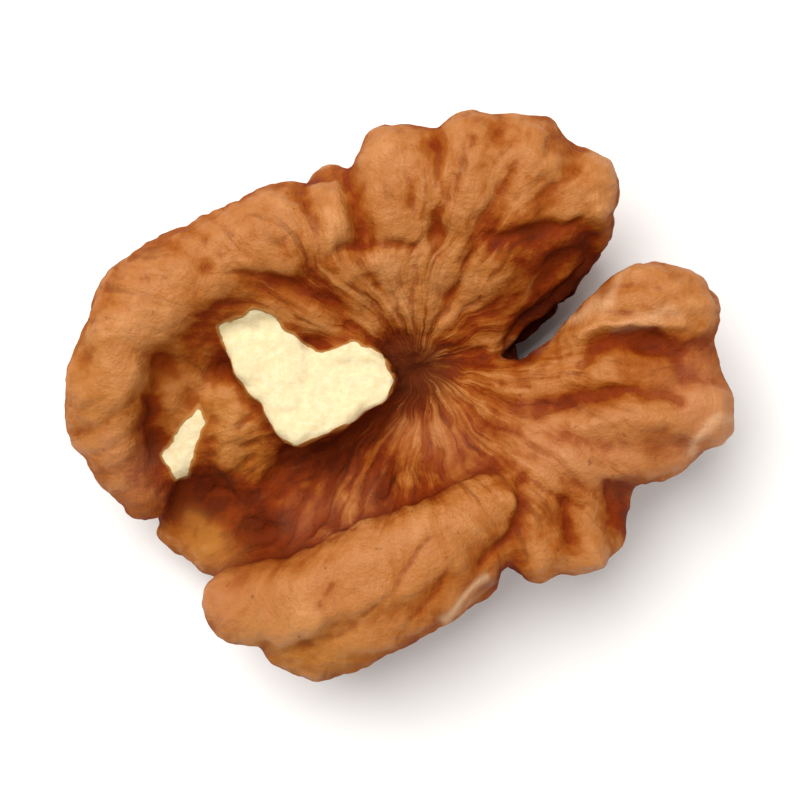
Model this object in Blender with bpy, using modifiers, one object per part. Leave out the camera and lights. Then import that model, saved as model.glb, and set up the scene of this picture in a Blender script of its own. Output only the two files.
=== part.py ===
"""A shelled walnut half, lying with the side up that faced the other half.

The half has two wings of folded, lobed flesh, joined by a bridge. The veins of the skin meet beside the bridge,
where the half was snapped off the other one and its pale flesh shows. A slot parts the wings at one end and a
wide furrow parts them at the other. Underneath, both wings are a rounded dome of winding lobes, and the half
rests on the worn flats of the lowest of them.

Points are in millimetres from the middle of the half on the table: X along its length, Y across, Z up.
"""

import math
import random

import bmesh
import bpy
from mathutils import Vector

MM = 0.001
NODE_NAME = "kernel"
SKIN_COLOUR = (0.56, 0.27, 0.10, 1.0)
SKIN_ROUGHNESS = 0.5

PATH_STEPS = 5
END_TURNS = (85.0, 65.0, 42.0, 20.0)
WELD = 0.001 * MM
SKIN_VOXEL = 0.24 * MM
FILLET_PASSES = 7
RELAX_PASSES = 1
LUMP_SPACING = 3.4 * MM
LUMP_HEIGHT = 0.85 * MM
TRIANGLE_TARGET = 11400
TABLE_DEPTH = 4.0 * MM

RIB_SEED = 11
RIM_RADIUS = 2.1
RIB_SIDE_SWAY = 0.95
RIB_HEIGHT_SWAY = 0.22
RIB_RADIUS_SWAY = 0.12
# Each is (way in from the rim to the foot line, height, radius) of a rib of the dome, below its own top.
RIB_PROFILE = (
    (0.1, 5.6, 2.2),
    (0.26, 3.7, 2.2),
    (0.46, 2.3, 2.1),
    (0.66, 1.95, 1.9),
    (0.84, 2.3, 1.7),
    (1.0, 3.0, 1.4),
)

BREAK_BASE = 5.0
BREAK_TOP = 9.9

# Each point is (x, y, z, radius) on the middle line of a fold.
UPPER_WING = {
    "core": [
        (-14.0, 0.4, 6.6, 2.6),
        (-11.6, 4.6, 6.8, 3.2),
        (-4.0, 7.6, 6.8, 3.8),
        (4.0, 9.2, 7.0, 3.8),
        (8.0, 9.8, 7.2, 3.0),
    ],
    "band": [
        (-14.7, -5.4, 6.0, 1.6),
        (-15.9, -3.4, 7.8, 1.8),
        (-16.5, -1.2, 9.0, 2.1),
        (-16.3, 1.4, 9.9, 2.4),
        (-15.0, 4.6, 10.2, 2.5),
        (-12.8, 6.4, 10.2, 2.9),
        (-9.4, 8.0, 10.4, 2.6),
        (-6.6, 9.3, 10.4, 2.9),
        (-4.4, 9.5, 10.4, 2.5),
    ],
    "band_shelf": [
        (-14.0, 1.2, 7.2, 2.2),
        (-13.0, 4.0, 8.4, 2.2),
        (-10.6, 5.7, 9.2, 2.1),
        (-7.6, 6.4, 9.4, 2.0),
        (-4.8, 5.4, 9.0, 1.8),
        (-3.3, 3.9, 8.3, 1.4),
    ],
    "ray_a": [(-0.9, 2.7, 7.0, 1.0), (-2.1, 5.2, 9.1, 1.3), (-3.2, 7.6, 10.6, 1.6)],
    "ray_b": [(-0.1, 2.9, 7.0, 1.0), (-0.7, 5.6, 9.2, 1.3), (-1.1, 8.0, 10.9, 1.6)],
    "ray_c": [(0.7, 3.0, 7.0, 1.0), (0.9, 5.6, 9.1, 1.3), (1.2, 8.2, 10.8, 1.6)],
    "ray_d": [(1.6, 2.8, 7.0, 1.0), (2.8, 5.4, 8.8, 1.3), (3.6, 7.4, 10.0, 1.5)],
    "ray_e": [(2.4, 2.5, 6.9, 1.0), (4.4, 4.7, 8.1, 1.3), (6.0, 6.6, 9.0, 1.4)],
    "crown_a": [(0.2, 9.2, 10.9, 1.8), (-0.5, 11.4, 11.3, 2.2), (-0.4, 13.0, 10.9, 2.5)],
    "crown_b": [(3.1, 7.6, 10.2, 1.7), (3.5, 10.4, 11.2, 2.0), (4.1, 13.4, 11.0, 2.8)],
    "crown_c": [(4.6, 7.0, 9.8, 1.6), (5.9, 9.9, 11.0, 2.0), (6.8, 12.9, 11.0, 2.9)],
    "crown_d": [(6.4, 7.6, 9.4, 1.4), (8.1, 9.9, 10.6, 1.9), (9.6, 11.4, 10.7, 2.6)],
    "crown_fill": [(-1.4, 11.0, 9.8, 2.5), (3.6, 11.9, 10.7, 2.7), (8.8, 10.8, 10.2, 2.5)],
    "slot_lip": [(3.4, 2.6, 6.6, 1.3), (5.8, 4.6, 7.6, 1.4), (8.5, 7.2, 8.2, 1.6), (10.4, 9.6, 9.0, 1.6)],
    "rest_lobe": [(1.4, 5.0, 2.3, 1.8), (3.6, 7.4, 1.6, 2.05), (5.4, 9.6, 2.4, 1.9)],
    "slot_bank": [(4.6, 3.4, 4.8, 1.8), (8.4, 7.2, 5.8, 1.9), (10.0, 9.6, 6.6, 1.9)],
}
LOWER_WING = {
    "core": [
        (13.2, 1.2, 6.8, 2.8),
        (9.0, -2.2, 6.8, 3.2),
        (4.0, -6.0, 6.6, 3.4),
        (-2.0, -9.6, 6.4, 3.6),
        (-6.8, -11.0, 5.6, 3.0),
    ],
    "slot_edge": [(8.0, 1.3, 7.9, 1.4), (10.8, 3.7, 9.6, 1.8), (13.4, 5.3, 10.1, 2.2), (15.4, 4.9, 9.7, 2.5)],
    "end_fold_a": [(2.0, 0.9, 6.4, 1.2), (6.6, 0.8, 8.2, 1.6), (11.6, 1.7, 9.8, 2.0), (15.6, 2.2, 9.4, 2.1)],
    "end_fold_b": [(2.0, -0.2, 6.4, 1.2), (6.6, -1.2, 8.2, 1.6), (11.6, -0.9, 9.8, 2.0), (16.2, -0.5, 9.2, 2.5)],
    "end_fold_c": [(2.6, -1.6, 6.6, 1.2), (7.2, -3.2, 8.9, 1.7), (11.4, -3.2, 9.3, 1.8), (14.6, -2.7, 8.7, 2.1)],
    "shoulder": [(7.6, -2.4, 9.3, 1.8), (9.4, -3.2, 9.5, 2.0)],
    "finger_a": [(7.4, -4.4, 9.4, 1.9), (7.7, -8.2, 9.1, 1.9)],
    "finger_b": [(9.7, -4.4, 9.2, 1.8), (10.2, -8.2, 8.6, 1.9)],
    "finger_c": [(10.9, -5.0, 8.8, 1.4), (11.7, -7.5, 8.0, 1.3)],
    "belly": [
        (5.6, -5.6, 10.0, 1.9),
        (2.1, -7.3, 10.4, 2.1),
        (-1.6, -9.1, 10.3, 2.4),
        (-5.4, -10.9, 9.4, 2.6),
        (-8.9, -11.5, 7.8, 2.4),
    ],
    "belly_fill": [(3.8, -6.8, 8.2, 2.0), (-1.6, -10.4, 8.2, 2.5), (-6.2, -12.0, 7.0, 2.5)],
    "belly_face": [
        (5.0, -7.4, 9.6, 1.9),
        (2.4, -10.0, 9.6, 2.2),
        (-1.4, -11.9, 9.1, 2.5),
        (-5.2, -13.3, 7.6, 2.8),
    ],
}
BRIDGE = {
    "core": [(-6.0, 0.2, 5.2, 2.3), (0.4, 0.8, 4.8, 2.3), (6.4, 0.4, 5.2, 2.3)],
    "ledge": [(-6.4, 1.0, 4.6, 2.4), (-10.0, -1.4, 4.2, 2.4), (-12.6, -4.4, 3.8, 2.2)],
    "floor": [(-3.4, -3.4, 3.6, 2.2), (-7.4, -6.2, 3.6, 2.4), (-12.4, -7.2, 3.2, 2.0)],
    "floor_core": [(2.2, -1.0, 3.8, 2.2), (-2.4, -1.8, 3.6, 2.4), (-9.0, -3.4, 3.5, 2.4)],
    "stump": [(-8.6, 3.0, 7.2, 1.9), (-5.6, 0.8, 7.0, 2.4), (-2.0, 1.2, 7.0, 1.9)],
    "stump_back": [(-8.6, 4.4, 6.2, 2.0), (-5.2, 3.9, 6.2, 2.1), (-2.4, 3.6, 6.2, 1.8)],
    "snapped_edge": [(-9.6, 1.0, 7.0, 1.5), (-11.2, -1.6, 6.9, 1.5), (-12.4, -3.3, 6.6, 1.2)],
    "snapped_lobe": [(-7.6, 0.2, 6.6, 1.7), (-8.3, -2.0, 6.2, 1.7), (-8.9, -3.9, 5.4, 1.4)],
    "furrow_fill": [(1.8, -1.2, 5.2, 1.6), (2.6, -3.4, 5.9, 1.8), (3.2, -5.4, 7.4, 1.8)],
    "furrow_a": [(0.6, -1.0, 6.0, 1.1), (0.4, -3.4, 6.9, 1.2), (0.6, -5.2, 8.0, 1.3)],
    "furrow_b": [(-0.5, -1.1, 5.8, 1.1), (-2.1, -4.3, 5.6, 1.3), (-2.9, -6.6, 6.4, 1.4)],
    "furrow_c": [(-1.5, -1.5, 5.3, 1.1), (-3.8, -4.4, 4.6, 1.4), (-5.6, -7.6, 5.2, 1.6)],
    "small_lump": [(-9.4, -6.9, 4.2, 1.5), (-10.8, -8.6, 4.4, 1.8)],
}
BREAK_OUTLINE = [
    (-10.2, 4.0), (-8.0, 5.1), (-7.0, 4.8), (-5.6, 3.2), (-4.3, 2.7), (-2.7, 3.3), (-1.1, 2.7), (-0.2, 1.1),
    (-0.6, 0.0), (-2.1, -0.8), (-3.2, -1.6), (-5.9, -2.7), (-7.0, -2.1), (-7.8, -0.5), (-9.3, 1.3), (-9.7, 2.7),
]  # fmt: skip

# Each wing's rim is (x, y, z) at the tops of its outermost lobes, and its foot line runs beside the groove.
UPPER_RIM = [
    (10.1, 10.2, 8.6), (7.8, 12.4, 8.6), (4.6, 13.4, 8.8), (0.4, 13.0, 8.8), (-3.8, 11.0, 8.4), (-8.2, 9.4, 8.2),
    (-12.2, 6.8, 8.2), (-15.2, 3.4, 8.0), (-16.0, -0.6, 7.4), (-14.8, -4.2, 5.8),
]  # fmt: skip
UPPER_FOOT = ((7.6, 5.8), (-11.0, -0.4))
LOWER_RIM = [
    (13.6, 4.6, 8.4), (16.0, 1.6, 8.4), (15.0, -2.0, 8.0), (11.2, -5.6, 7.8), (7.6, -7.8, 8.2), (3.4, -9.8, 8.2),
    (-0.6, -12.0, 7.8), (-4.8, -13.2, 6.8), (-8.8, -11.2, 6.4),
]  # fmt: skip
LOWER_FOOT = ((9.4, 1.0), (-6.6, -6.6))


def clear_scene():
    """Removes every object that the scene holds."""
    for old in list(bpy.data.objects):
        bpy.data.objects.remove(old, do_unlink=True)


def new_collection(name):
    collection = bpy.data.collections.new(name)
    bpy.context.scene.collection.children.link(collection)
    return collection


def smooth_path(points):
    """Points along a Catmull-Rom curve through (x, y, z, radius) points, in metres."""
    knots = [Vector(point) * MM for point in points]
    knots = [2 * knots[0] - knots[1], *knots, 2 * knots[-1] - knots[-2]]
    path = []
    for before, start, end, after in zip(knots, knots[1:], knots[2:], knots[3:]):
        for i in range(PATH_STEPS):
            t = i / PATH_STEPS
            bend = (2 * before - 5 * start + 4 * end - after) * t**2
            twist = (3 * start - before - 3 * end + after) * t**3
            path.append(0.5 * (2 * start + (end - before) * t + bend + twist))
    path.append(knots[-2])
    return path


def round_end(last, inner):
    """Points that close a tube in a half ball beyond its last point, from the tip inwards."""
    outward = (last.xyz - inner.xyz).normalized()
    points = []
    for turn in END_TURNS:
        angle = math.radians(turn)
        place = last.xyz + outward * (last.w * math.sin(angle))
        points.append(Vector((*place, last.w * math.cos(angle))))
    return points


def add_fold(name, points, collection):
    """A round-ended tube along a smooth path, whose radius swells and thins as the points say."""
    path = smooth_path(points)
    path = [*round_end(path[0], path[1]), *path, *reversed(round_end(path[-1], path[-2]))]
    curve = bpy.data.curves.new(name, "CURVE")
    curve.dimensions = "3D"
    curve.bevel_depth = 1.0
    curve.bevel_resolution = 6
    curve.use_fill_caps = True
    spline = curve.splines.new("POLY")
    spline.points.add(len(path) - 1)
    for knot, place in zip(spline.points, path):
        knot.co = (place.x, place.y, place.z, 1.0)
        knot.radius = place.w
    return add_as_mesh(name, curve, collection)


def add_break(name, collection):
    """The stump of flesh where the half was snapped off the other one: its outline, raised to a flat top."""
    curve = bpy.data.curves.new(name, "CURVE")
    curve.dimensions = "2D"
    curve.fill_mode = "BOTH"
    curve.extrude = (BREAK_TOP - BREAK_BASE) / 2 * MM
    spline = curve.splines.new("POLY")
    spline.points.add(len(BREAK_OUTLINE) - 1)
    spline.use_cyclic_u = True
    for knot, (x, y) in zip(spline.points, BREAK_OUTLINE):
        knot.co = (x * MM, y * MM, 0.0, 1.0)
    return add_as_mesh(name, curve, collection, lift=(BREAK_TOP + BREAK_BASE) / 2 * MM)


def add_as_mesh(name, curve, collection, lift=0.0):
    """The curve's shape as a closed mesh object. The curve itself is removed."""
    source = bpy.data.objects.new(f"{name}_curve", curve)
    source.location.z = lift
    collection.objects.link(source)
    bpy.context.view_layer.update()
    shape = bpy.data.objects.new(name, evaluated_mesh(source))
    shape.matrix_world = source.matrix_world.copy()
    seams = bmesh.new()
    seams.from_mesh(shape.data)
    bmesh.ops.remove_doubles(seams, verts=seams.verts, dist=WELD)
    bmesh.ops.recalc_face_normals(seams, faces=seams.faces)
    seams.to_mesh(shape.data)
    seams.free()
    collection.objects.link(shape)
    bpy.data.objects.remove(source, do_unlink=True)
    return shape


def evaluated_mesh(source):
    """The object's mesh as its modifiers leave it."""
    graph = bpy.context.evaluated_depsgraph_get()
    return bpy.data.meshes.new_from_object(source.evaluated_get(graph))


def add_ribs(name, rim, foot, sway, collection):
    """The winding lobes of one wing's dome: each runs from the rim down, and in under the wing to its foot line."""
    start, end = Vector(foot[0]), Vector(foot[1])
    for i, (x, y, z) in enumerate(rim):
        top = Vector((x, y))
        low = start.lerp(end, (i + 0.5) / len(rim))
        across = (low - top).orthogonal().normalized()
        points = [(x, y, z, RIM_RADIUS)]
        for share, height, radius in RIB_PROFILE:
            loose = math.sin(math.pi * share)
            place = top.lerp(low, share) + across * (sway.uniform(-1, 1) * RIB_SIDE_SWAY * loose)
            place_z = height + sway.uniform(-1, 1) * RIB_HEIGHT_SWAY
            points.append((place.x, place.y, place_z, radius * (1 + sway.uniform(-1, 1) * RIB_RADIUS_SWAY)))
        add_fold(f"{name}_{i:02d}", points, collection)


def build_folds():
    """Every fold of the half as a loose closed shape, in a collection of their own."""
    folds = new_collection("folds")
    for group, members in (("upper", UPPER_WING), ("lower", LOWER_WING), ("bridge", BRIDGE)):
        for name, points in members.items():
            add_fold(f"{group}_{name}", points, folds)
    add_break("break", folds)
    sway = random.Random(RIB_SEED)
    add_ribs("upper_rib", UPPER_RIM, UPPER_FOOT, sway, folds)
    add_ribs("lower_rib", LOWER_RIM, LOWER_FOOT, sway, folds)
    return folds


def apply_modifiers(kernel):
    bpy.context.view_layer.update()
    kernel.data = evaluated_mesh(kernel)
    kernel.modifiers.clear()


def join(kernel, folds):
    """Joins the folds to the kernel's first one, then removes them."""
    union = kernel.modifiers.new("join", "BOOLEAN")
    union.operation = "UNION"
    union.solver = "MANIFOLD"
    union.operand_type = "COLLECTION"
    union.collection = folds
    apply_modifiers(kernel)
    for fold in list(folds.objects):
        bpy.data.objects.remove(fold, do_unlink=True)
    bpy.data.collections.remove(folds)


def grow_skin(kernel):
    """Draws one even skin over the folds, rounds the creases, and adds the uneven lumps of a grown thing."""
    remesh = kernel.modifiers.new("skin", "REMESH")
    remesh.mode = "VOXEL"
    remesh.voxel_size = SKIN_VOXEL
    smooth = kernel.modifiers.new("fillet", "SMOOTH")
    smooth.factor = 0.5
    smooth.iterations = FILLET_PASSES
    lumps = bpy.data.textures.new("lumps", "CLOUDS")
    lumps.noise_scale = LUMP_SPACING
    lumps.noise_depth = 2
    displace = kernel.modifiers.new("lumps", "DISPLACE")
    displace.texture = lumps
    displace.texture_coords = "LOCAL"
    displace.strength = LUMP_HEIGHT
    displace.mid_level = 0.5
    apply_modifiers(kernel)


def thin_out(kernel):
    """Keeps about TRIANGLE_TARGET triangles, most of them in the creases."""
    kernel.data.calc_loop_triangles()
    decimate = kernel.modifiers.new("thin_out", "DECIMATE")
    decimate.ratio = TRIANGLE_TARGET / len(kernel.data.loop_triangles)
    decimate.use_collapse_triangulate = True
    relax = kernel.modifiers.new("relax", "SMOOTH")
    relax.factor = 0.4
    relax.iterations = RELAX_PASSES
    apply_modifiers(kernel)


def centre_on_origin(mesh):
    """Moves the mesh so that the middle of its outline is at X and Y zero."""
    for axis in (0, 1):
        places = [vertex.co[axis] for vertex in mesh.vertices]
        middle = (min(places) + max(places)) / 2
        for vertex in mesh.vertices:
            vertex.co[axis] -= middle


def wear_flats(kernel):
    """Cuts off what would sink into the table, which leaves a small flat under each of the lowest lobes."""
    size = kernel.dimensions * 2
    table = bpy.data.objects.new("table", bpy.data.meshes.new("table"))
    block = bmesh.new()
    bmesh.ops.create_cube(block, size=1.0)
    bmesh.ops.scale(block, vec=(size.x, size.y, TABLE_DEPTH), verts=block.verts)
    bmesh.ops.translate(block, vec=(0.0, 0.0, -TABLE_DEPTH / 2), verts=block.verts)
    block.to_mesh(table.data)
    block.free()
    table.hide_render = True
    table.display_type = "WIRE"
    new_collection("cutters").objects.link(table)
    cut = kernel.modifiers.new("wear_flats", "BOOLEAN")
    cut.operation = "DIFFERENCE"
    cut.solver = "MANIFOLD"
    cut.object = table


def skin_material():
    material = bpy.data.materials.new("skin")
    material.use_nodes = True
    shader = material.node_tree.nodes["Principled BSDF"]
    shader.inputs["Base Color"].default_value = SKIN_COLOUR
    shader.inputs["Roughness"].default_value = SKIN_ROUGHNESS
    shader.inputs["Metallic"].default_value = 0.0
    return material


def build_kernel():
    folds = build_folds()
    first = folds.objects["upper_core"]
    kernel = bpy.data.objects.new(NODE_NAME, first.data.copy())
    bpy.data.objects.remove(first, do_unlink=True)
    new_collection("walnut_half").objects.link(kernel)
    join(kernel, folds)
    grow_skin(kernel)
    thin_out(kernel)
    centre_on_origin(kernel.data)
    kernel.data.name = NODE_NAME
    kernel.data.materials.clear()
    kernel.data.materials.append(skin_material())
    kernel.data.shade_smooth()
    bpy.context.view_layer.update()
    wear_flats(kernel)
    return kernel


clear_scene()
build_kernel()
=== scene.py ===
"""The looks of a shelled walnut half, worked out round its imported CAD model.

The kernel's skin starts from the CAD solid, drawn again as an even net of small faces. The folds are
sharpened, and creases, wrinkles and lumps are pressed into it. What each point is (a crest or a crease, how
far it lies from the place where the veins meet, whether its flesh is bare) is kept as attributes, which the
finish reads.
"""

import logging
import math
from dataclasses import dataclass, field
from enum import Enum
from typing import ClassVar

import bmesh
import bpy
import numpy as np
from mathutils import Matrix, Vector


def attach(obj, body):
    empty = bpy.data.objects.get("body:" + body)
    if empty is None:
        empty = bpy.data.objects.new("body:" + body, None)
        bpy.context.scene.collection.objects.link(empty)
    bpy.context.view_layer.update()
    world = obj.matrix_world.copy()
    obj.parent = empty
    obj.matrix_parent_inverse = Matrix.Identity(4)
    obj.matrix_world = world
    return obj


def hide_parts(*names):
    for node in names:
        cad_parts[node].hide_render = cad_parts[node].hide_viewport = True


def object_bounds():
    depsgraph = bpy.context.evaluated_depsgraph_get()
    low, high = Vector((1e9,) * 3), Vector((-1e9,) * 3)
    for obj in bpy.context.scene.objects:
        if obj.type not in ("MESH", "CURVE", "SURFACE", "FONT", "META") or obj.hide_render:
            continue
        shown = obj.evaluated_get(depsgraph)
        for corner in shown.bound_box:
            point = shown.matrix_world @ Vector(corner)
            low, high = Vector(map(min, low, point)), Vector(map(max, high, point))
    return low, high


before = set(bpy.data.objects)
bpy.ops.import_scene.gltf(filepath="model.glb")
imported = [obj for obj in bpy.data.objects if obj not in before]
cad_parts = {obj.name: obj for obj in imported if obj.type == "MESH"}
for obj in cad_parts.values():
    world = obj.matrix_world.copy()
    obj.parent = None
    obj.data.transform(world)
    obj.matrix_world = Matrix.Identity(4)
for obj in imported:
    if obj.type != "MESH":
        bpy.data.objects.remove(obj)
CAD_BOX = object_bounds()

MM = 0.001
LOG = logging.getLogger("walnut")
Array = np.ndarray
Socket = bpy.types.NodeSocket
Point = tuple[float, float]
Colour = tuple[float, float, float, float]


class Tone(Enum):
    """What places on the skin lean to, each with the name of the attribute that the finish reads.

    CALM isn't a colour: the lumps, wrinkles and mottling are weaker there. The red tone lowers a place down
    the skin's colour scale: a redder tone, and painted shade where the place lies in shade.
    """

    CALM = "tone_calm"
    RED = "tone_red_and_shade"
    PINK = "tone_pink"
    YELLOW = "tone_yellow"
    # Thin pale lines on edges: partly rubbed skin, partly a painted highlight.
    WORN_AND_HIGHLIGHT = "tone_worn"


class Noise:
    """Smooth seeded noise in three dimensions, worked out for whole arrays of points."""

    TABLE = 4096
    PRIMES = (73856093, 19349663, 83492791)
    SEED_PRIME = 2654435761
    GAIN = 1.5
    LAYER_SHIFT = 17.3

    def __init__(self, seed: int) -> None:
        """Draws the table of random slopes.

        Args:
            seed: the start of the random draw, so that each run is the same.
        """
        slopes = np.random.default_rng(seed).normal(size=(self.TABLE, 3))
        self.slopes = slopes / np.linalg.norm(slopes, axis=1, keepdims=True)
        self.seed = seed

    def at(self, points: Array) -> Array:
        """The noise at each point, about -1 to 1, with features one unit across.

        Each corner of a point's unit cell has a random slope. The value is the corners' slopes times the way
        to the point, blended with weights that ease from one corner to the next as 6t^5 - 15t^4 + 10t^3.

        Args:
            points: an N by 3 array.

        Returns:
            An array of N values.
        """
        cell = np.floor(points).astype(np.int64)
        way = points - cell
        ease = way**3 * (way * (way * 6 - 15) + 10)
        total = np.zeros(len(points))
        for corner in np.ndindex(2, 2, 2):
            step = np.array(corner)
            key = (cell + step) * np.array(self.PRIMES)
            index = (key[:, 0] ^ key[:, 1] ^ key[:, 2] ^ (self.seed * self.SEED_PRIME)) % self.TABLE
            slope = (self.slopes[index] * (way - step)).sum(axis=1)
            total += slope * np.where(step, ease, 1 - ease).prod(axis=1)
        return total * self.GAIN

    def layered(self, points: Array, layers: int) -> Array:
        """A sum of noises, each at twice the last one's frequency and half its strength.

        Args:
            points: an N by 3 array.
            layers: how many noises are added.

        Returns:
            An array of N values, about -1 to 1.
        """
        total = np.zeros(len(points))
        for layer in range(layers):
            total += self.at(points * 2.0**layer + self.LAYER_SHIFT * layer) * 0.5**layer
        return total


@dataclass(frozen=True)
class Ripple:
    """A noise with a size and a strength of its own.

    Attributes:
        size: how wide its features are, in millimetres.
        strength: what the noise is multiplied by.
        start: where in the noise it starts, which makes two ripples unlike.
        layers: how many noises, each finer than the last, it adds up.
    """

    size: float
    strength: float
    start: float = 0.0
    layers: int = 1

    def at(self, noise: Noise, points: Array) -> Array:
        """The ripple's value at each point."""
        return noise.layered(points / self.size + self.start, self.layers) * self.strength

    def shifts(self, noise: Noise, points: Array, *starts: float) -> Array:
        """Small shifts for each point, one column for each start."""
        columns = [noise.layered(points / self.size + start, self.layers) for start in starts]
        return np.column_stack(columns) * self.strength


def ease_between(low: float, high: float, values: Array) -> Array:
    """Rises from 0 at low to 1 at high along 3t^2 - 2t^3, for each value."""
    t = np.clip((values - low) / (high - low), 0.0, 1.0)
    return t * t * (3 - 2 * t)


def fade(distance: Array, width: float) -> Array:
    """Falls from 1 to about a third at the width: e to the minus square of distance over width."""
    return np.exp(-((distance / width) ** 2))


def valleys(values: Array, blunt: float, gain: float, drop: float) -> Array:
    """Valleys where the values change sign: the root of their square plus blunt, times gain, less drop."""
    return np.sqrt(values**2 + blunt) * gain - drop


def read_all(items: bpy.types.bpy_prop_collection, name: str, width: int = 1, kind: type = np.int32) -> Array:
    """Reads one property of every item into an array."""
    flat = np.empty(len(items) * width, kind)
    items.foreach_get(name, flat)
    return flat if width == 1 else flat.reshape(-1, width)


def add_object(name: str, data: bpy.types.ID) -> bpy.types.Object:
    """Makes an object of a mesh, a light or a camera, and puts it into the scene."""
    made = bpy.data.objects.new(name, data)
    bpy.context.scene.collection.objects.link(made)
    return made


def distance_to_line(corners: tuple[Point, ...], places: Array) -> Array:
    """Each place's distance from a line: the least over its straight runs of the way to the run.

    Args:
        corners: the line's corners.
        places: an N by 2 array.

    Returns:
        An array of N distances.
    """
    nearest = np.full(len(places), np.inf)
    for start, end in zip(corners, corners[1:]):
        a, run = np.array(start), np.array(end) - np.array(start)
        share = np.clip((places - a) @ run / (run @ run), 0.0, 1.0)
        nearest = np.minimum(nearest, np.linalg.norm(places - a - share[:, None] * run, axis=1))
    return nearest


class SkinNet:
    """A mesh's points with the neighbours of each, as arrays, so that the whole skin is worked on at once."""

    MOST_ROUNDS = 900

    def __init__(self, mesh: bpy.types.Mesh) -> None:
        """Reads the points in millimetres, and links each with its neighbours along edges and across quads.

        Args:
            mesh: the mesh to read. Its faces are quads, with a triangle here and there.
        """
        self.mesh = mesh
        self.points = read_all(mesh.vertices, "co", 3, np.float32).astype(np.float64) / MM
        corners = read_all(mesh.loops, "vertex_index")
        quads = read_all(mesh.polygons, "loop_start")[read_all(mesh.polygons, "loop_total") == 4]
        across = [np.stack([corners[quads + first], corners[quads + first + 2]], axis=1) for first in (0, 1)]
        pairs = np.concatenate([read_all(mesh.edges, "vertices", 2), *across])
        target = np.concatenate([pairs[:, 0], pairs[:, 1]])
        source = np.concatenate([pairs[:, 1], pairs[:, 0]])
        order = np.argsort(target, kind="stable")
        self.target, self.source = target[order], source[order]
        self.starts = np.searchsorted(self.target, np.arange(len(mesh.vertices)))
        self.valence = np.diff(np.append(self.starts, len(self.target))).astype(np.float64)

    def mean(self, values: Array) -> Array:
        """The mean of each point's neighbours' values."""
        total = np.add.reduceat(values[self.source], self.starts, axis=0)
        return total / (self.valence if values.ndim == 1 else self.valence[:, None])

    def smoothed(self, values: Array, passes: int) -> Array:
        """The values after each has moved half of the way to its neighbours' mean, several times.

        Args:
            values: one value or one row for each point.
            passes: how many times they move.

        Returns:
            The new values. The spread of the smoothing is about 0.11 mm times the root of passes.
        """
        for _ in range(passes):
            values = values + (self.mean(values) - values) * 0.5
        return values

    def relief(self, passes: int, normals: Array) -> Array:
        """How far each point stands out of the smoothed skin along its normal, negative in a crease."""
        return ((self.points - self.smoothed(self.points, passes)) * normals).sum(axis=1)

    def way_costs(self, roots: Array, roughness: Array) -> Array:
        """The cost of each point's cheapest way over the skin to the nearest root.

        The cost of a step is its length times the mean roughness of its ends. Each round lowers every point's
        cost to the least of its neighbours' costs plus the step between, until nothing changes.

        Args:
            roots: the indices of the points where the ways end.
            roughness: what a step costs at each point, as a multiple of its length.

        Returns:
            An array of costs.
        """
        length = np.linalg.norm(self.points[self.target] - self.points[self.source], axis=1)
        step = length * (roughness[self.target] + roughness[self.source]) / 2
        cost = np.full(len(self.points), 1e9)
        cost[roots] = 0.0
        for _ in range(self.MOST_ROUNDS):
            least = np.minimum.reduceat(cost[self.source] + step, self.starts)
            if not (least < cost - 1e-9).any():
                break
            cost = np.minimum(least, cost)
        return cost

    def normals(self) -> Array:
        """Each point's outward normal, from the mesh with the present points."""
        self.write_points()
        return read_all(self.mesh.vertex_normals, "vector", 3, np.float32).astype(np.float64)

    def write_points(self) -> None:
        """Puts the points back into the mesh, in metres."""
        self.mesh.vertices.foreach_set("co", (self.points * MM).astype(np.float32).ravel())
        self.mesh.update()

    def keep(self, name: str, values: Array) -> None:
        """Keeps a value, or three, for each point as an attribute of the mesh.

        Args:
            name: the attribute's name, which the finish reads.
            values: one value, or one row of three, for each point.
        """
        kind, channel = ("FLOAT", "value") if values.ndim == 1 else ("FLOAT_VECTOR", "vector")
        attribute = self.mesh.attributes.new(name, kind, "POINT")
        attribute.data.foreach_set(channel, values.astype(np.float32).ravel())


@dataclass(frozen=True)
class Mark:
    """Something along a line on the inner side, seen from straight above, in millimetres.

    Attributes:
        corners: the line's corners.
        strength: how strong it is on the line.
        width: how far from the line it has faded to about a third.
        floor: the least height of the skin that it reaches.
    """

    FACING: ClassVar[tuple[float, float]] = (-0.1, 0.35)
    RISE: ClassVar[float] = 1.0

    corners: tuple[Point, ...]
    strength: float
    width: float
    floor: float = 5.0

    def at(self, points: Array, normals: Array, wander: Array) -> Array:
        """The mark's strength at each point, fading away from its line.

        Args:
            points: an N by 3 array.
            normals: their outward normals.
            wander: an N by 2 array of small shifts that keep the line from running too true.

        Returns:
            An array of N strengths, which fade out on skin that faces down or lies below the floor.
        """
        distance = distance_to_line(self.corners, points[:, :2] + wander)
        faces = ease_between(*self.FACING, normals[:, 2])
        height = ease_between(self.floor, self.floor + self.RISE, points[:, 2])
        return self.strength * fade(distance, self.width) * faces * height


class Crease(Mark):
    """A furrow. Its strength is its depth, and a negative one raises a ridge."""


@dataclass(frozen=True)
class Tint(Mark):
    """A soft-edged place that leans to a tone, or away from it where its strength is negative."""

    FACING = (-0.3, 0.3)
    RISE = 2.0

    floor: float = 4.0


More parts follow.
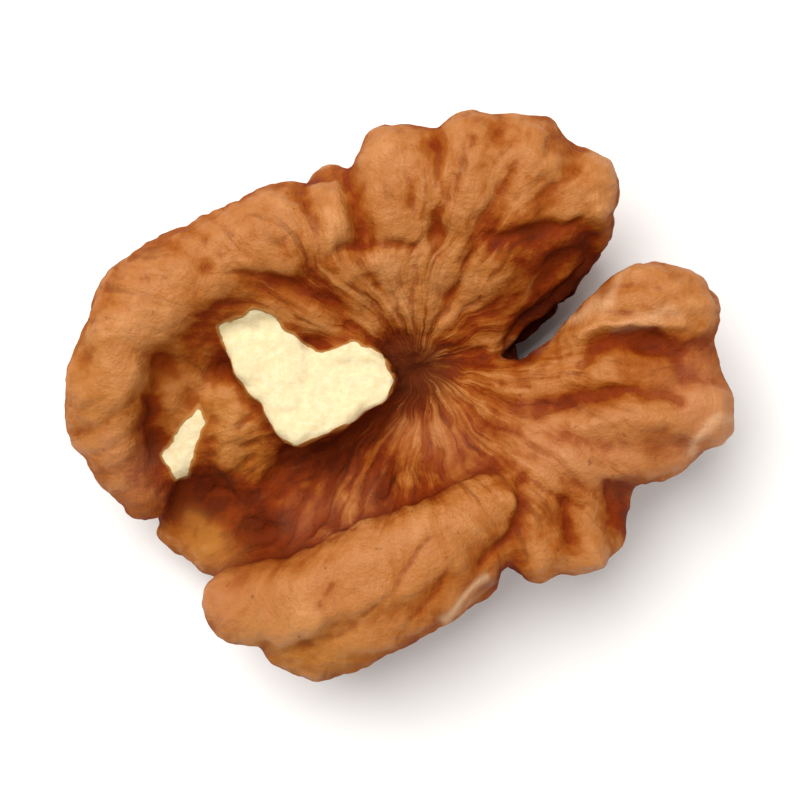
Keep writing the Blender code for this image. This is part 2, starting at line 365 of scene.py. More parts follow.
@dataclass(frozen=True)
class Fan:
    """The short creases that spread from the place where the veins meet.

    Attributes:
        centre: where they would all meet, in millimetres seen from above.
        headings: the way that each one runs, in degrees from +X.
        start: how far from the centre they start.
        end: about how far from it they end.
        depth: about how deep they are pressed in.
        width: how far from its line the depth of each has fallen to about a third.
        most_bend: how far one may turn on its way, in degrees.
        lengths: the least and greatest length, as shares of the usual one.
        depths: the least and greatest depth, as shares of the usual one.
        seed: the start of the random draw that makes them unlike.
    """

    centre: Point = (0.8, 1.9)
    headings: tuple[float, ...] = (141, 124, 107, 84, 63, 43, 12, -9, -24, -44, -60, -82, -99, -124)
    start: float = 1.6
    end: float = 5.6
    depth: float = 0.2
    width: float = 0.24
    most_bend: float = 9.0
    lengths: tuple[float, float] = (0.7, 1.25)
    depths: tuple[float, float] = (0.5, 1.3)
    seed: int = 5

    def creases(self) -> list[Crease]:
        """Makes the creases, each with a bend, a length and a depth drawn at random.

        Returns:
            One crease for each heading.
        """
        draw = np.random.default_rng(self.seed)
        bent = []
        for heading in self.headings:
            bend = draw.uniform(-self.most_bend, self.most_bend)
            length, depth = draw.uniform(*self.lengths), draw.uniform(*self.depths)
            reaches = (self.start, (self.start + self.end) / 2, self.end * length)
            turns = (math.radians(heading + turn) for turn in (0.0, bend, bend * 0.4))
            corners = tuple(
                (self.centre[0] + math.cos(turn) * reach, self.centre[1] + math.sin(turn) * reach)
                for reach, turn in zip(reaches, turns)
            )
            bent.append(Crease(corners, self.depth * depth, self.width))
        return bent


@dataclass(frozen=True)
class BreakFace:
    """Where the half was snapped off the other one: pale flesh inside an outline, in millimetres.

    Attributes:
        outline: the corners of the break, going round.
        lowest: skin below this height isn't broken.
    """

    outline: tuple[Point, ...]
    lowest: float

    def inside(self, places: Array) -> Array:
        """How far inside the outline each place is, and outside it as a negative number.

        The distance is the least to any side. The sign turns each time a ray along X crosses a side.

        Args:
            places: an N by 2 array.

        Returns:
            An array of N distances.
        """
        closed = (*self.outline, self.outline[0])
        nearest = distance_to_line(closed, places)
        crossed = np.zeros(len(places), bool)
        x, y = places.T
        for (from_x, from_y), (to_x, to_y) in zip(closed, closed[1:]):
            spans = (from_y > y) != (to_y > y)
            with np.errstate(divide="ignore", invalid="ignore"):
                meets = from_x + (y - from_y) * (to_x - from_x) / (to_y - from_y)
            crossed ^= spans & (x < meets)
        return np.where(crossed, nearest, -nearest)


@dataclass(frozen=True)
class Filling:
    """A place where the small folds are filled in, so that it reads as one broad face.

    Attributes:
        line: the corners of its middle line, in millimetres seen from above.
        radius: how far from the line the filling has fallen to about a third.
        share: the share of the way that the skin moves to its smoothed self, at the line.
        passes: how broadly the skin is smoothed.
    """

    line: tuple[Point, ...]
    radius: float
    share: float
    passes: int

    def move(self, net: SkinNet) -> Array:
        """How each point moves: its way to the smoothed skin times the share, fading away from the line.

        Args:
            net: the skin.

        Returns:
            An N by 3 array, in millimetres.
        """
        near = fade(distance_to_line(self.line, net.points[:, :2]), self.radius)
        share = self.share * near * ease_between(2.0, 3.5, net.points[:, 2])
        return (net.smoothed(net.points, self.passes) - net.points) * share[:, None]


@dataclass(frozen=True)
class Sky:
    """How open each point of the skin lies: the share of the sky that the folds round it leave free.

    Attributes:
        cell: the side of a cell of the height map, in millimetres.
        headings: how many ways round the horizon is looked for.
        steps: how far out it is looked for, in millimetres.
        clearance: how far the horizon is lowered, so that even skin hides none of its own sky.
    """

    cell: float = 0.25
    headings: int = 16
    steps: tuple[float, ...] = (0.35, 0.7, 1.1, 1.6, 2.2, 3.0, 4.0, 5.2)
    clearance: float = 0.15

    def openness(self, points: Array, normals: Array) -> Array:
        """The openness seen from above or from below, whichever side a point faces.

        Args:
            points: an N by 3 array.
            normals: their outward normals.

        Returns:
            An array of N values from 0, at the bottom of a pit, to 1, on a crest.
        """
        above = self._seen_from_above(points)
        below = self._seen_from_above(points * np.array([1.0, 1.0, -1.0]))
        share = ease_between(-0.35, 0.35, normals[:, 2])
        return above * share + below * (1 - share)

    def _seen_from_above(self, points: Array) -> Array:
        """Keeps the greatest height in each cell of a grid, then looks from each point along each heading.

        The horizon's slope is the greatest rise over distance. What it leaves of the sky is one minus the
        sine of its angle, and the openness is the mean over the headings.

        Args:
            points: an N by 3 array.

        Returns:
            An array of N values.
        """
        margin = max(self.steps)
        corner = points[:, :2].min(axis=0) - margin - self.cell
        size = np.ceil((points[:, :2].max(axis=0) + margin - corner) / self.cell).astype(int) + 2
        heights = np.full(size, points[:, 2].min() - 1.0)
        cells = ((points[:, :2] - corner) / self.cell).astype(int)
        np.maximum.at(heights, (cells[:, 0], cells[:, 1]), points[:, 2])
        free = np.zeros(len(points))
        for turn in np.arange(self.headings) * math.tau / self.headings:
            slope = np.zeros(len(points))
            for step in self.steps:
                way = np.array([math.cos(turn), math.sin(turn)]) * step
                seen = ((points[:, :2] + way - corner) / self.cell).astype(int)
                rise = heights[seen[:, 0], seen[:, 1]] - points[:, 2] - self.clearance
                slope = np.maximum(slope, rise / step)
            free += 1 - slope / np.sqrt(1 + slope * slope)
        return free / self.headings


TINTS: dict[Tone, tuple[Tint, ...]] = {
    Tone.CALM: (
        Tint(((-9.4, -10.8), (3.6, -7.4)), 0.8, 2.2),
        Tint(((-6.0, -13.2), (2.4, -10.6)), 0.7, 1.8),
        Tint(((11.5, -0.8), (15.5, -1.8)), 0.7, 2.2),
        Tint(((11.2, 6.2), (14.4, 5.8)), 0.6, 1.6),
        Tint(((7.4, -2.6), (10.0, -3.4)), 0.7, 1.6),
        Tint(((-13.6, 2.6), (-12.2, -0.6)), 0.8, 1.4),
        Tint(((-0.8, 13.0), (-0.4, 9.6)), 0.6, 1.4),
        Tint(((-0.6, 6.4), (3.4, 6.0)), 0.45, 1.8),
        Tint(((0.8, -1.8), (3.6, -3.0)), 0.4, 1.6),
    ),
    Tone.RED: (
        # A positive tint lowers a place down the skin's colour scale and a negative one lightens it. The
        # positive ones give a redder tone. Under the break's lower edge, in the lower-left hollow, in the
        # recess under the rim's lobes, on the slot's steep bank, on the lower bulge at the right and at the
        # left rim's lower tip, they are also painted shade and shadow.
        Tint(((-5.8, -3.3), (-2.2, -2.9)), 0.5, 1.0),
        Tint(((-12.4, -5.2), (-10.4, -5.4)), 0.9, 1.0, 1.0),
        Tint(((-10.4, -5.4), (-7.2, -6.4)), 1.0, 1.3, 1.0),
        Tint(((1.6, 13.0), (8.0, 11.4)), 0.16, 2.4),
        Tint(((-5.6, -7.0), (-2.4, -5.8)), -0.45, 1.4),
        Tint(((-10.4, 0.4), (-9.2, -3.0)), -0.9, 1.6),
        Tint(((-12.6, 0.4), (-13.4, -3.0)), -0.4, 0.8),
        Tint(((-9.0, -5.5), (-10.5, -1.5)), 0.5, 1.6),
        Tint(((5.4, 8.4), (9.6, 8.9)), 0.95, 1.1),
        Tint(((6.7, 3.4), (8.8, 5.4)), 1.0, 1.1, 0.5),
        Tint(((-6.2, -12.5), (-3.8, -12.7)), -0.4, 1.3),
        Tint(((8.8, 5.4), (10.9, 8.0)), 0.9, 0.8, 0.5),
        Tint(((12.3, -5.4), (12.9, -7.8)), 1.0, 0.8, 0.5),
        Tint(((-14.4, -4.8), (-14.0, -6.6)), 0.8, 1.2),
        Tint(((12.0, 2.6), (15.2, 2.2)), 0.5, 1.2),
        Tint(((-13.6, 2.6), (-12.8, -0.6)), -0.95, 1.8),
        Tint(((-14.3, -1.2), (-13.9, -4.6)), 0.85, 1.1),
        Tint(((12.0, -1.6), (16.0, -1.2)), 0.3, 1.4),
        Tint(((-3.9, 12.2), (-3.2, 9.4)), -0.6, 1.3),
        Tint(((9.6, 9.8), (10.8, 10.4)), -0.2, 1.2),
        Tint(((-0.6, 6.2), (2.6, 6.4)), -0.85, 2.1),
        Tint(((0.8, -1.8), (3.2, -3.6)), -0.7, 1.5),
    ),
    Tone.PINK: (
        Tint(((-5.6, -7.0), (-2.4, -5.8)), 0.5, 1.4),
        Tint(((-16.2, -2.6), (-14.8, -4.8)), 0.7, 1.2),
        Tint(((16.6, 0.4), (16.4, -2.6)), 0.8, 1.9),
        Tint(((8.0, -2.2), (12.0, -3.2)), 0.5, 1.9),
        Tint(((-10.8, -10.4), (-8.8, -12.6)), 0.6, 1.9),
        Tint(((0.8, -1.8), (3.4, -2.6)), 0.5, 1.5),
    ),
    Tone.YELLOW: (
        Tint(((-11.9, -7.0), (-11.2, -8.4)), 0.6, 0.8, 1.0),
        Tint(((-10.2, -0.6), (-9.2, -2.6)), 0.6, 1.5),
        Tint(((-8.0, -13.6), (-3.5, -14.4)), 0.7, 1.8),
        Tint(((-11.2, -7.8), (-10.0, -8.8)), 0.7, 1.3),
        Tint(((-17.6, 3.0), (-16.6, -1.0)), 0.35, 1.6),
    ),
    Tone.WORN_AND_HIGHLIGHT: (
        # Thin pale lines along edges: partly rubbed skin, partly a painted highlight.
        Tint(((2.3, -12.1), (4.9, -10.2)), 0.85, 0.28, 6.0),
        Tint(((16.2, -2.8), (17.8, -1.0)), 0.6, 0.3, 6.0),
        Tint(((8.2, 3.2), (12.6, 7.0)), 0.4, 0.28, 6.0),
        Tint(((12.0, 4.2), (15.2, 4.3)), 0.3, 0.28, 6.0),
    ),
}


@dataclass
class KernelForm:
    """The kernel's skin: an even net over the CAD solid, with its folds, creases, wrinkles and tones.

    Sizes are in millimetres. A gain is a share of a fold's own depth.

    Attributes:
        voxel: the side of the net's faces.
        facet_passes: how broadly the CAD solid's facets are smoothed away.
        meeting_place: where the veins meet.
        fold_scales: for folds of each width, the smoothing passes and the share of the work.
        relief_scales: the attributes that note relief, each with its passes and its full height.
        most_move: the farthest that a point may move from the smoothed net.
        box_share: how far past the CAD box's sides a point may stand, as a share of them.
        outer: for each point, from 0 on the inner side to 1 on the outer.
        heading: for each point, its direction from the meeting place, seen from above.
        reach: how far each point lies from the meeting place over the skin.
    """

    voxel: float = 0.205
    facet_passes: int = 11
    meeting_place: tuple[float, float, float] = (0.9, 1.9, 7.4)
    meeting_reach: float = 1.5
    crease_gain: float = 0.35
    crest_gain: float = 0.25
    outer_gain: float = 0.6
    fold_scales: tuple[tuple[int, float], ...] = ((24, 0.6), (110, 0.4))
    relief_scales: tuple[tuple[str, int, float], ...] = (
        ("relief_fine", 8, 0.06),
        ("relief_fold", 60, 0.35),
        ("relief_lobe", 300, 1.3),
    )
    way_roughness: Ripple = Ripple(3.0, 0.25)
    sways: tuple[Ripple, Ripple] = (Ripple(5.0, 0.45), Ripple(1.9, 0.15))
    tangle: Ripple = Ripple(0.8, 0.4, 7.0)
    tangle_reach: float = 1.5
    crease_wander: Ripple = Ripple(1.3, 0.25)
    tint_wander: Ripple = Ripple(2.0, 0.8)
    lumps: Ripple = Ripple(2.1, 0.14, layers=3)
    grain: Ripple = Ripple(0.55, 0.03, 5.0, 2)
    pillows: Ripple = Ripple(1.7, 1.0, 60.0, 2)
    pillow_height: float = 0.095
    wrinkle_height: float = 0.15
    streak_length: float = 9.0
    winding_shift: Ripple = Ripple(2.6, 1.1)
    winding_size: float = 4.6
    winding_width: float = 0.11
    winding_depth: float = 0.5
    ragged_edge: Ripple = Ripple(0.9, 0.16, layers=2)
    facets: tuple[Ripple, Ripple] = (Ripple(1.7, 0.14, 11.0), Ripple(0.5, 0.05, 3.0))
    most_move: float = 1.3
    box_share: float = 0.012
    box_top: float = 0.1
    seed: int = 23
    outer: Array = field(init=False, repr=False)
    heading: Array = field(init=False, repr=False)
    reach: Array = field(init=False, repr=False)
    breaks: tuple[BreakFace, ...] = (
        BreakFace(
            outline=(
                (-10.1, 4.0), (-8.0, 5.0), (-7.0, 4.7), (-5.6, 3.1),
                (-4.3, 2.7), (-2.7, 3.2), (-1.1, 2.6), (-0.3, 1.1),
                (-0.7, 0.0), (-2.1, -0.8), (-3.2, -1.5), (-5.9, -2.6),
                (-6.9, -2.0), (-7.7, -0.5), (-9.2, 1.3), (-9.6, 2.7),
            ),
            lowest=9.25,
        ),
        BreakFace(
            outline=(
                (-13.5, -3.1), (-12.4, -1.6), (-11.3, -0.2), (-11.1, -1.2),
                (-11.7, -3.1), (-12.1, -4.3), (-12.8, -4.5),
            ),
            lowest=6.2,
        ),
    )
    creases: tuple[Crease, ...] = (
        # The rim's lobes at the top right, from left to right, and the recess under them.
        Crease(((1.6, 14.4), (1.55, 12.4), (1.45, 9.6)), -0.35, 0.6),
        Crease(((2.0, 15.2), (1.95, 12.0), (1.6, 9.2)), 0.12, 0.25),
        Crease(((3.9, 14.3), (3.25, 12.3), (2.2, 10.2), (1.8, 8.5)), 0.2, 0.35),
        Crease(((6.4, 12.8), (5.1, 10.7), (4.2, 9.1), (3.5, 7.5)), 0.2, 0.4),
        Crease(((7.6, 12.1), (6.2, 10.7), (4.9, 9.0)), 0.15, 0.3),
        Crease(((5.8, 8.1), (8.0, 8.8), (10.2, 9.4)), 0.3, 0.7),
        Crease(((5.0, 8.7), (7.0, 9.2), (9.8, 9.4)), 0.4, 0.4),
        Crease(((-3.7, 12.4), (-3.4, 9.6)), -0.55, 0.9),
        # The fold across the upper wing, and the one that sets off the shelf over the break.
        Crease(((-3.3, 8.35), (-1.6, 8.6), (0.7, 8.4)), 0.3, 0.28),
        Crease(((-9.4, 7.0), (-7.0, 6.6), (-4.8, 5.9), (-3.2, 4.8)), 0.22, 0.3),
        # The stump's face, filled out between the break and the chip, and the smooth hollow beside it.
        Crease(((-9.1, -0.6), (-9.6, -2.0), (-10.0, -3.0)), -0.45, 1.0),
        Crease(((-10.6, -1.0), (-9.9, -1.5), (-8.9, -1.4), (-8.4, -0.9)), 0.14, 0.2),
        Crease(((-10.7, -2.2), (-9.9, -2.6), (-8.8, -2.4), (-8.0, -2.6)), 0.14, 0.2),
        Crease(((-13.1, 2.0), (-12.2, 0.9), (-11.8, 0.4)), 0.45, 0.8, floor=3.0),
        # The striations down the far slope of the furrow.
        Crease(((-4.6, -4.0), (-5.8, -6.2), (-6.6, -8.2)), 0.25, 0.25, floor=1.0),
        Crease(((-3.2, -3.6), (-4.3, -5.4), (-5.0, -7.4)), 0.22, 0.22, floor=1.0),
        Crease(((-2.2, -3.4), (-3.1, -5.4), (-3.8, -7.6)), 0.25, 0.2, floor=1.0),
        Crease(((-1.2, -3.2), (-1.9, -5.0), (-2.6, -6.9)), 0.22, 0.2, floor=1.0),
        Crease(((-0.2, -3.0), (-0.8, -4.6), (-1.3, -6.2)), 0.15, 0.2, floor=1.0),
        # The right lobe: its ridge, the recess that bends round a bump, and the lines below.
        Crease(((9.9, 3.4), (11.0, 4.2), (12.9, 4.3), (15.4, 4.1)), -0.28, 0.3),
        Crease(((9.9, 1.9), (10.6, 2.9), (12.1, 3.4), (14.0, 3.3), (15.2, 2.5)), 0.36, 0.55),
        Crease(((7.6, -0.6), (10.2, 0.2), (12.9, 0.6), (15.4, 0.0)), 0.38, 0.35),
        Crease(((9.6, -1.5), (12.0, -1.0), (14.6, -1.2), (16.4, -2.2)), -0.15, 0.35),
        Crease(((11.0, 6.2), (13.4, 6.4), (15.0, 5.6)), 0.15, 0.3),
        # The lobes at the lower right: round the end of the belly, and between the fingers.
        Crease(((6.7, -4.1), (6.8, -6.1), (6.2, -7.5), (4.6, -8.9)), 0.3, 0.35),
        Crease(((6.9, -4.2), (8.3, -5.1), (10.2, -6.0)), 0.22, 0.25),
        Crease(((9.2, -5.6), (9.45, -7.9)), 0.35, 0.25),
        Crease(((11.4, -4.6), (11.9, -6.8)), 0.2, 0.25),
        # The upper wing's steep bank down to the slot.
        Crease(((6.9, 3.4), (8.0, 4.5), (9.4, 5.8), (10.8, 7.8)), 0.6, 0.75, floor=1.0),
        Crease(((6.7, 3.2), (7.7, 4.4)), 0.4, 0.6, floor=1.0),
        # The lip along the slot, and the shallow fold down the middle of the break.
        Crease(((7.6, 2.4), (9.0, 4.4), (10.8, 6.1), (13.0, 7.2)), -0.22, 0.3),
        Crease(((-5.2, 2.9), (-5.0, 1.4), (-5.7, -0.6)), 0.09, 0.3),
        # The belly, filled out along its middle, and its faint slanting furrows.
        Crease(((-6.4, -13.3), (-3.9, -11.6), (0.3, -10.3), (2.9, -8.6)), -0.45, 0.8),
        Crease(((-1.9, -11.6), (-0.4, -10.4), (0.6, -8.9), (1.6, -7.6)), 0.12, 0.2),
        Crease(((0.6, -12.2), (2.0, -10.4), (3.0, -8.4)), 0.1, 0.22),
        Crease(((-5.4, -12.6), (-4.4, -11.2), (-3.8, -10.2)), 0.08, 0.25),
    )
    fillings: tuple[Filling, ...] = (
        # The stump's two lobes, which read as one face from above.
        Filling(((-10.4, -1.2), (-9.4, -1.6), (-8.8, -3.0)), 1.7, 0.9, 160),
        Filling(((-10.6, -2.6), (-9.4, -3.2)), 1.2, 0.7, 160),
        # The groove along the belly's lower side.
        Filling(((-3.2, -11.6), (0.3, -10.4), (2.6, -9.0)), 1.2, 0.6, 120),
    )
    fan: Fan = Fan()
    tints: dict[Tone, tuple[Tint, ...]] = field(default_factory=TINTS.copy)

    def build(self) -> bpy.types.Object:
        """Makes the finished skin.

        Returns:
            The skin's object, at the origin, with its attributes.
        """
        mesh = self._even_net()
        net = SkinNet(mesh)
        LOG.info("skin net: %d points, %d faces", len(mesh.vertices), len(mesh.polygons))
        net.points = net.smoothed(net.points, self.facet_passes)
        start = net.points.copy()
        self._sharpen_folds(net)
        net.points = net.points + sum(filling.move(net) for filling in self.fillings)
        self._lead_flow(net)
        self._press(net)
        self._snap(net)
        move = net.points - start
        far = np.maximum(np.linalg.norm(move, axis=1, keepdims=True) / self.most_move, 1.0)
        net.points = start + move / far
        self._keep_in_box(net)
        net.write_points()
        self._note_relief(net)
        mesh.shade_smooth()
        return add_object("kernel_skin", mesh)

    def _even_net(self) -> bpy.types.Mesh:
        """Draws the CAD solid again as small even faces.

        Returns:
            A new mesh, from a merged copy of the CAD node's.
        """
        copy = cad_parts["kernel"].data.copy()
        seams = bmesh.new()
        seams.from_mesh(copy)
        bmesh.ops.remove_doubles(seams, verts=seams.verts, dist=0.001 * MM)
        seams.to_mesh(copy)
        seams.free()
        copy.materials.clear()
        source = add_object("skin_source", copy)
        remesh = source.modifiers.new("even", "REMESH")
        remesh.mode = "VOXEL"
        remesh.voxel_size = self.voxel * MM
        bpy.context.view_layer.update()
        graph = bpy.context.evaluated_depsgraph_get()
        mesh = bpy.data.meshes.new_from_object(source.evaluated_get(graph))
        mesh.name = "kernel_skin"
        bpy.data.objects.remove(source, do_unlink=True)
        return mesh

    def _sharpen_folds(self, net: SkinNet) -> None:
        """Deepens the creases and fills out the crests: each point moves out by its relief times a gain.

        Args:
            net: the skin.
        """
        normals = net.normals()
        self.outer = ease_between(0.25, -0.3, net.smoothed(normals[:, 2], 50))
        for passes, share in self.fold_scales:
            relief = net.relief(passes, normals)
            gain = np.where(relief < 0, self.crease_gain + self.outer * self.outer_gain, self.crest_gain)
            net.points = net.points + normals * (relief * gain * share)[:, None]

    def _lead_flow(self, net: SkinNet) -> None:
        """Finds the flow of the streaks over the skin, and keeps it as an attribute.

        A point's heading is its direction from the meeting place, seen from above and turned a little by
        noise. Its reach is the cost of its cheapest way there over the skin.

        Args:
            net: the skin.
        """
        noise = Noise(self.seed)
        away = net.points - np.array(self.meeting_place)
        distance = np.linalg.norm(away, axis=1)
        ring = np.flatnonzero((distance < self.meeting_reach) & (net.points[:, 2] > 5.0))
        costs = net.way_costs(ring, 1 + self.way_roughness.at(noise, net.points))
        wide, narrow = self.sways
        sway = wide.at(noise, net.points) + narrow.at(noise, net.points)
        tangle = self.tangle.at(noise, net.points) / (1 + (distance / self.tangle_reach) ** 2)
        turn = np.arctan2(away[:, 1], away[:, 0]) + sway / (1 + distance / 4.0) + tangle
        self.heading = np.column_stack([np.cos(turn), np.sin(turn)])
        self.reach = net.smoothed(costs, 6)
        net.keep("flow", np.column_stack([self.heading, self.reach / 10.0]))

    def _press(self, net: SkinNet) -> None:
        """Presses the creases, wrinkles, lumps, pillows and grain into the skin.

        A pillow is a round bump with a sharp crease round it. Wrinkles run along the streaks. On the outer
        side the wrinkles are weaker and the pillows stronger, and where the skin is calm both are weaker.

        Args:
            net: the skin.
        """
        noise = Noise(self.seed + 1)
        normals = net.normals()
        calm = self._lean(net, normals, Tone.CALM)
        wander = self.crease_wander.shifts(noise, net.points, 0.0, 40.0)
        depth = self._winding_depth(net)
        for crease in (*self.creases, *self.fan.creases()):
            depth += crease.at(net.points, normals, wander)
        lumps = self.lumps.at(noise, net.points) * (1 - 0.7 * calm)
        wrinkles = valleys(self._streaks(noise), 0.01, 1.8, 0.6) * self.wrinkle_height
        pillows = valleys(self.pillows.at(noise, net.points), 0.003, 1.7, 0.5) * self.pillow_height
        wrinkles = wrinkles * (1 - 0.7 * self.outer) * (1 - 0.4 * calm)
        pillows = pillows * (0.75 + 1.25 * self.outer) * (1 - 0.8 * calm)
        lift = lumps + wrinkles + pillows + self.grain.at(noise, net.points) - depth
        net.points = net.points + normals * lift[:, None]

    def _streaks(self, noise: Noise) -> Array:
        """Noise drawn out along the flow, in more and more streaks on the way out from the meeting place.

        Args:
            noise: the noise.

        Returns:
            An array of values.
        """
        along = self.reach[:, None] / self.streak_length
        near = noise.at(np.column_stack([self.heading * 4.6, along + 3.0]))
        far = noise.at(np.column_stack([self.heading * 8.5, along * 1.6 + 9.0]))
        share = ease_between(4.0, 11.0, self.reach)
        return near * (1 - share) + far * share

    def _winding_depth(self, net: SkinNet) -> Array:
        """The depth of the narrow creases that wind over the outer side, between its round folds.

        They lie where a broad noise, itself shifted by a finer one, changes sign.

        Args:
            net: the skin.

        Returns:
            An array of depths.
        """
        noise = Noise(self.seed + 4)
        shift = self.winding_shift.shifts(noise, net.points, 0.0, 20.0, 40.0)
        winding = noise.at((net.points + shift) / self.winding_size)
        return self.outer * self.winding_depth * fade(winding, self.winding_width)

    def _snap(self, net: SkinNet) -> None:
        """Makes the broken faces, and keeps how far inside one each point is.

        Args:
            net: the skin.
        """
        noise = Noise(self.seed + 2)
        ragged = self.ragged_edge.shifts(noise, net.points, 0.0, 30.0)
        deepest = np.full(len(net.points), -9.0)
        for face in self.breaks:
            inside = face.inside(net.points[:, :2] + ragged)
            high = (net.points[:, 2] - face.lowest) * 0.9
            deepest = np.maximum(deepest, np.minimum(inside, high))
        net.keep("flesh", np.clip(deepest, -3.0, 3.0))
        broad, fine = self.facets
        facets = broad.at(noise, net.points) + fine.at(noise, net.points)
        net.points[:, 2] += ease_between(-0.05, 0.25, deepest) * facets

    def _keep_in_box(self, net: SkinNet) -> None:
        """Brings back any point that has left the CAD box by more than a hair, or gone under the table.

        Args:
            net: the skin.
        """
        low, high = (np.array(corner) / MM for corner in CAD_BOX)
        spare = (high - low) * self.box_share
        spare[2] = self.box_top
        net.points = np.minimum(np.maximum(net.points, low - spare), high + spare)
        net.points[:, 2] = np.maximum(net.points[:, 2], 0.0)

    def _note_relief(self, net: SkinNet) -> None:
        """Keeps what the finish reads: how far each point stands out, how open it lies, and its tones.

        Args:
            net: the skin.
        """
        normals = net.normals()
        for name, passes, full in self.relief_scales:
            net.keep(name, np.clip(net.relief(passes, normals) / full, -1.0, 1.0))
        # The finish paints shade with this: the skin's colour falls where the openness is low.
        net.keep("openness", net.smoothed(Sky().openness(net.points, normals), 4))
        for tone in Tone:
            net.keep(tone.value, self._lean(net, normals, tone))
        net.keep("outer", self.outer)

    def _lean(self, net: SkinNet, normals: Array, tone: Tone) -> Array:
        """How far each point leans to a tone: the sum of the tints of that tone, between -1 and 1.

        Args:
            net: the skin.
            normals: its points' outward normals.
            tone: the tone.

        Returns:
            An array of values.
        """
        wander = self.tint_wander.shifts(Noise(self.seed + 3), net.points, 0.0, 40.0)
        total = np.zeros(len(net.points))
        for tint in self.tints[tone]:
            total += tint.at(net.points, normals, wander)
        return np.clip(total, -1.0, 1.0)


class Nodes:
    """A short way to place and link the nodes of one tree."""

    def __init__(self, tree: bpy.types.NodeTree) -> None:
        """Starts on a tree.

        Args:
            tree: the material's node tree.
        """
        self.tree = tree

    def add(self, kind: str, **settings: object) -> bpy.types.Node:
        """Adds a node and sets its properties.

        Args:
            kind: the node's type name, without the word ShaderNode in front.
            settings: the node's properties by name.

        Returns:
            The new node.
        """
        node = self.tree.nodes.new(f"ShaderNode{kind}")
        for name, value in settings.items():
            setattr(node, name, value)
        return node

    def feed(self, socket: Socket, value: object) -> None:
        """Links a socket from another, or sets its own value.

        Args:
            socket: the input to feed.
            value: an output's socket, or a plain value.
        """
        if isinstance(value, bpy.types.NodeSocket):
            self.tree.links.new(value, socket)
        else:
            socket.default_value = value

    def chain(self, operation: str, *values: object) -> Socket:
        """Works a sum on the first two values or sockets, then on the result and the next one, and so on.

        Args:
            operation: the Math node's operation.
            values: two or more values or sockets.

        Returns:
            The result's socket.
        """
        result, *others = values
        for other in others:
            node = self.add("Math", operation=operation)
            self.feed(node.inputs[0], result)
            self.feed(node.inputs[1], other)
            result = node.outputs["Value"]
        return result

    def total(self, *values: object) -> Socket:
        """The values' sum."""
        return self.chain("ADD", *values)

    def product(self, *values: object) -> Socket:
        """The values' product."""
        return self.chain("MULTIPLY", *values)

    def less(self, value: object, taken: object) -> Socket:
        """What is left of a value when another is taken from it."""
        return self.chain("SUBTRACT", value, taken)

    def ramp(self, value: object, low: float, high: float, start: object = 0.0, end: object = 1.0) -> Socket:
        """Maps a value smoothly from low..high to start..end.

        Args:
            value: a number or a socket.
            low: the value that gives start.
            high: the value that gives end.
            start: the result at low.
            end: the result at high.

        Returns:
            The result's socket.
        """
        node = self.add("MapRange", interpolation_type="SMOOTHSTEP")
        for socket, given in zip(node.inputs, (value, low, high, start, end)):
            self.feed(socket, given)
        return node.outputs["Result"]

    def blend(self, share: object, first: object, second: object) -> Socket:
        """Mixes two colours.

        Args:
            share: how much of the second one is seen, kept between 0 and 1.
            first: a colour or a socket.
            second: a colour or a socket.

        Returns:
            The colour's socket.
        """
        node = self.add("Mix", data_type="RGBA", clamp_factor=True)
        self.feed(node.inputs["Factor"], share)
        self.feed(node.inputs[6], first)
        self.feed(node.inputs[7], second)
        return node.outputs[2]

    def noise(self, vector: Socket, scale: float, detail: float, rough: float = 0.5) -> Socket:
        """Noise from 0 to 1 along a vector.

        Args:
            vector: the coordinates' socket.
            scale: the noise's scale.
            detail: how many finer layers it has.
            rough: how strong they are.

        Returns:
            The value's socket.
        """
        node = self.add("TexNoise")
        for name, value in (("Vector", vector), ("Scale", scale), ("Detail", detail), ("Roughness", rough)):
            self.feed(node.inputs[name], value)
        return node.outputs["Fac"]

    def read(self, name: str, output: str = "Fac") -> Socket:
        """The socket of one of the skin's attributes."""
        return self.add("Attribute", attribute_name=name).outputs[output]


class SkinNodes(Nodes):
    """The nodes of the skin's material, with what more than one step of it reads, each as a socket.

    Attributes:
        place: Object coordinates, in metres.
        flow: the heading and the reach of each point.
        reach: how far it lies from the meeting place over the skin, in centimetres.
        openness: how open it lies, from 0 to 1.
        inner: 1 on the inner side, and less on the outer.
        plain: 1 on most of the skin, and less where it is calm.
        coarse: broad noise drawn out along the flow.
        streaks: finer noise drawn out along the flow.
        mottle: fine even noise.
    """

    def __init__(self, tree: bpy.types.NodeTree) -> None:
        """Places the nodes that are read more than once.

        Args:
            tree: the material's node tree.
        """
        super().__init__(tree)
        self.place = self.add("TexCoord").outputs["Object"]
        self.flow = self.read("flow", "Vector")
        parts = self.add("SeparateXYZ")
        self.feed(parts.inputs["Vector"], self.flow)
        self.reach = parts.outputs["Z"]
        self.openness = self.read("openness")
        self.inner = self.ramp(self.read("outer"), 0.0, 1.0, 1.0, 0.25)
        self.plain = self.ramp(self.read(Tone.CALM.value), 0.0, 1.0, 1.0, 0.35)
        self.coarse = self.noise(self._along_flow(0.22), 6.5, 3.0, 0.6)
        self.streaks = self.noise(self._along_flow(0.16), 15.0, 4.0, 0.62)
        self.mottle = self.noise(self.place, 1150.0, 4.0, 0.6)

    def _along_flow(self, along: float) -> Socket:
        """The flow's coordinates, drawn out along it.

        Args:
            along: the scale along the flow as a share of the scale across it.

        Returns:
            The coordinates' socket.
        """
        node = self.add("Mapping")
        self.feed(node.inputs["Vector"], self.flow)
        self.feed(node.inputs["Scale"], (1.0, 1.0, along))
        return node.outputs["Vector"]


